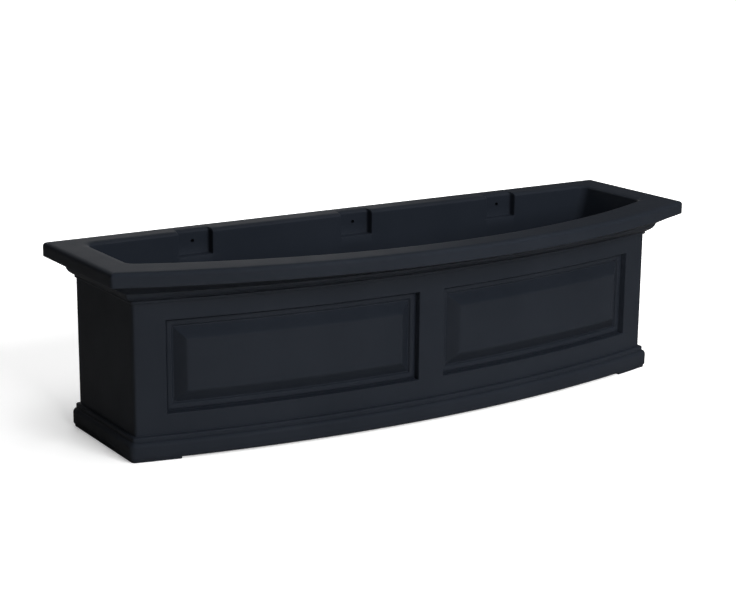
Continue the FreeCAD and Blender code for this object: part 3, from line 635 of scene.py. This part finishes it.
def moulded_plastic(name, dark, light, roughness, grain):
    """Satin moulded polyethylene: faint colour drift, soft orange peel, fine grain."""
    material = bpy.data.materials.new(name)
    material.use_nodes = True
    tree = material.node_tree
    shader = tree.nodes["Principled BSDF"]
    link = tree.links.new
    place = tree.nodes.new("ShaderNodeTexCoord")

    drift = linked(tree, "ShaderNodeTexNoise", "colour drift", Scale=9.0, Detail=3.0)
    link(place.outputs["Object"], drift.inputs["Vector"])
    colour = tree.nodes.new("ShaderNodeValToRGB")
    colour.color_ramp.elements[0].position = 0.35
    colour.color_ramp.elements[0].color = (*dark, 1)
    colour.color_ramp.elements[1].position = 0.68
    colour.color_ramp.elements[1].color = (*light, 1)
    link(drift.outputs["Fac"], colour.inputs["Fac"])
    link(colour.outputs["Color"], shader.inputs["Base Color"])

    gloss = linked(tree, "ShaderNodeTexNoise", "gloss patches", Scale=26.0, Detail=4.0)
    link(place.outputs["Object"], gloss.inputs["Vector"])
    spread = linked(tree, "ShaderNodeMapRange", "roughness")
    set_range(spread, 0, 1, roughness - GLOSS_DRIFT, roughness + GLOSS_DRIFT)
    link(gloss.outputs["Fac"], spread.inputs["Value"])
    link(spread.outputs["Result"], shader.inputs["Roughness"])

    peel = linked(tree, "ShaderNodeTexNoise", "orange peel", Scale=160.0, Detail=2.0)
    fine = linked(tree, "ShaderNodeTexNoise", "fine grain", Scale=1500.0, Detail=2.0)
    for texture in (peel, fine):
        link(place.outputs["Object"], texture.inputs["Vector"])
    low = linked(tree, "ShaderNodeBump", "peel bump", Strength=0.12, Distance=PEEL_DEPTH)
    high = linked(tree, "ShaderNodeBump", "grain bump", Strength=grain, Distance=GRAIN_DEPTH)
    link(peel.outputs["Fac"], low.inputs["Height"])
    link(fine.outputs["Fac"], high.inputs["Height"])
    link(low.outputs["Normal"], high.inputs["Normal"])
    link(high.outputs["Normal"], shader.inputs["Normal"])
    shader.inputs["IOR"].default_value = 1.5
    shader.inputs["Specular IOR Level"].default_value = 0.3
    return material


CHARCOAL = moulded_plastic(
    "charcoal_polyethylene", (0.0086, 0.0108, 0.0152), (0.0102, 0.0126, 0.0175), 0.5, 0.35
)
PLUG_BLACK = moulded_plastic("plug_plastic", (0.008, 0.008, 0.009), (0.011, 0.011, 0.012), 0.4, 0.1)
RUBBER = moulded_plastic("seal_rubber", (0.006, 0.006, 0.006), (0.009, 0.009, 0.009), 0.7, 0.3)


def dress(node, material):
    """Give a CAD node one material all over."""
    mesh = NODES[node].data
    mesh.materials.clear()
    mesh.materials.append(material)


add_outer_shell(CHARCOAL)
add_inner_trough(CHARCOAL)
for side in ("left", "right"):
    dress(f"drain_plug_{side}", PLUG_BLACK)
    dress(f"plug_seal_{side}", RUBBER)

# ------------------------------------------------------------------ stage

FLOOR_SIZE = 30.0
FLOOR_DROP = 0.0002  # keeps the floor off the feet's undersides
FLOOR_WHITE = 0.9
FLOOR_IN_GLOSS = 0.12  # how bright the floor's reflection is
GLOW_NEAR, GLOW_FAR = 0.35, 1.1  # the sheet's painted glow, seen by the camera only, at the box and beyond
GLOW_START, GLOW_END = 0.55, 1.5  # distances from the middle of the box, in metres


def white_sheet():
    """A white studio sheet: near the box it takes the lamps' soft shadow, and a painted glow, seen
    by the camera only, grows away from the box until the sheet is plain white.
    """
    material = bpy.data.materials.new("white_sheet")
    material.use_nodes = True
    tree = material.node_tree
    shader = tree.nodes["Principled BSDF"]
    link = tree.links.new
    shader.inputs["Roughness"].default_value = 1.0
    shader.inputs["Specular IOR Level"].default_value = 0.0
    shader.inputs["Emission Color"].default_value = (1, 1, 1, 1)
    rays = tree.nodes.new("ShaderNodeLightPath")
    tone = linked(tree, "ShaderNodeMapRange", "white, and darker in reflections")
    set_range(tone, 0, 1, FLOOR_WHITE, FLOOR_IN_GLOSS)
    link(rays.outputs["Is Glossy Ray"], tone.inputs["Value"])
    link(tone.outputs["Result"], shader.inputs["Base Color"])
    place = tree.nodes.new("ShaderNodeTexCoord")
    reach = tree.nodes.new("ShaderNodeVectorMath")
    reach.operation = "LENGTH"
    link(place.outputs["Object"], reach.inputs[0])
    # painted light: the sheet glows for the camera, less near the box so the lamps' shadows show
    # there, and enough beyond to read as plain white
    glow = linked(tree, "ShaderNodeMapRange", "glow")
    glow.interpolation_type = "SMOOTHSTEP"
    set_range(glow, GLOW_START, GLOW_END, GLOW_NEAR, GLOW_FAR)
    link(reach.outputs["Value"], glow.inputs["Value"])
    seen = tree.nodes.new("ShaderNodeMath")
    seen.operation = "MULTIPLY"
    link(glow.outputs["Result"], seen.inputs[0])
    link(rays.outputs["Is Camera Ray"], seen.inputs[1])
    link(seen.outputs["Value"], shader.inputs["Emission Strength"])
    return material


def add_floor():
    half = FLOOR_SIZE / 2
    corners = [(-half, -half, 0), (half, -half, 0), (half, half, 0), (-half, half, 0)]
    mesh = bpy.data.meshes.new("floor")
    mesh.from_pydata(corners, [], [(0, 1, 2, 3)])
    floor = bpy.data.objects.new("floor", mesh)
    floor.location.z = -FLOOR_DROP
    bpy.context.scene.collection.objects.link(floor)
    mesh.materials.append(white_sheet())


add_floor()

# ------------------------------------------------------------------ light

WORLD_LEFT, WORLD_RIGHT = 0.03, 0.09
# (name, place, aim, size, watts): softboxes light the box without a mirror image.
SOFTBOXES = (
    ("top_softbox", (0.7, -0.6, 2.3), (0, 0, 0.1), (2.2, 1.8), 43),
    ("key_softbox", (0.15, -2.7, 1.35), (0, 0, 0.12), (1.8, 1.3), 117),
    ("back_softbox", (0.9, 2.7, 1.3), (0, 0, 0.12), (1.4, 1.2), 30),
)
# The soft shine on the rim: seen in reflections only.
RIM_SHEEN = ("rim_sheen", (0.5, 2.1, 0.8), (-0.1, 0, 0.25), (1.7, 0.7), 2.3)


def area_light(name, place, aim, size, power):
    lamp = bpy.data.lights.new(name, "AREA")
    lamp.shape = "RECTANGLE"
    lamp.size, lamp.size_y = size
    lamp.energy = power
    item = bpy.data.objects.new(name, lamp)
    item.location = place
    item.rotation_euler = (Vector(aim) - Vector(place)).to_track_quat("-Z", "Y").to_euler()
    bpy.context.scene.collection.objects.link(item)
    return item


def add_world():
    """White behind the sheet, and a dimmer light that comes more from the right."""
    world = bpy.data.worlds.new("studio")
    world.use_nodes = True
    tree = world.node_tree
    link = tree.links.new
    background = tree.nodes["Background"]
    background.inputs["Color"].default_value = (1, 1, 1, 1)
    place = tree.nodes.new("ShaderNodeTexCoord")
    sides = tree.nodes.new("ShaderNodeSeparateXYZ")
    link(place.outputs["Generated"], sides.inputs["Vector"])
    light = linked(tree, "ShaderNodeMapRange", "light from the right")
    set_range(light, -1, 1, WORLD_LEFT, WORLD_RIGHT)
    link(sides.outputs["X"], light.inputs["Value"])
    rays = tree.nodes.new("ShaderNodeLightPath")
    strength = tree.nodes.new("ShaderNodeMath")
    strength.operation = "MAXIMUM"
    link(light.outputs["Result"], strength.inputs[0])
    link(rays.outputs["Is Camera Ray"], strength.inputs[1])
    link(strength.outputs["Value"], background.inputs["Strength"])
    bpy.context.scene.world = world


for softbox in SOFTBOXES:
    area_light(*softbox).visible_glossy = False
area_light(*RIM_SHEEN).visible_diffuse = False
add_world()

# ------------------------------------------------------------------ camera

# The photograph's view, fitted to the traced edges of the box.
IMAGE_WIDTH = 736
FOCAL_PIXELS = 1768.3
AZIMUTH, ELEVATION, ROLL = math.radians(-32.92), math.radians(14.11), math.radians(0.509)
DISTANCE = 2.3963
TARGET = Vector((-0.05172, 0.0025, 0.15641))


def add_camera():
    away = Vector(
        (
            math.sin(AZIMUTH) * math.cos(ELEVATION),
            -math.cos(AZIMUTH) * math.cos(ELEVATION),
            math.sin(ELEVATION),
        )
    )
    right = (-away).cross(Vector((0, 0, 1))).normalized()
    up = right.cross(-away)
    level = right * math.cos(ROLL) + up * math.sin(ROLL)
    upright = up * math.cos(ROLL) - right * math.sin(ROLL)
    lens = bpy.data.cameras.new("camera")
    lens.sensor_width = 36
    lens.lens = FOCAL_PIXELS * lens.sensor_width / IMAGE_WIDTH
    camera = bpy.data.objects.new("camera", lens)
    turn = Matrix((level, upright, away)).transposed().to_4x4()
    camera.matrix_world = Matrix.Translation(TARGET + away * DISTANCE) @ turn
    bpy.context.scene.collection.objects.link(camera)
    bpy.context.scene.camera = camera


add_camera()
bpy.context.scene.view_settings.view_transform = "Standard"
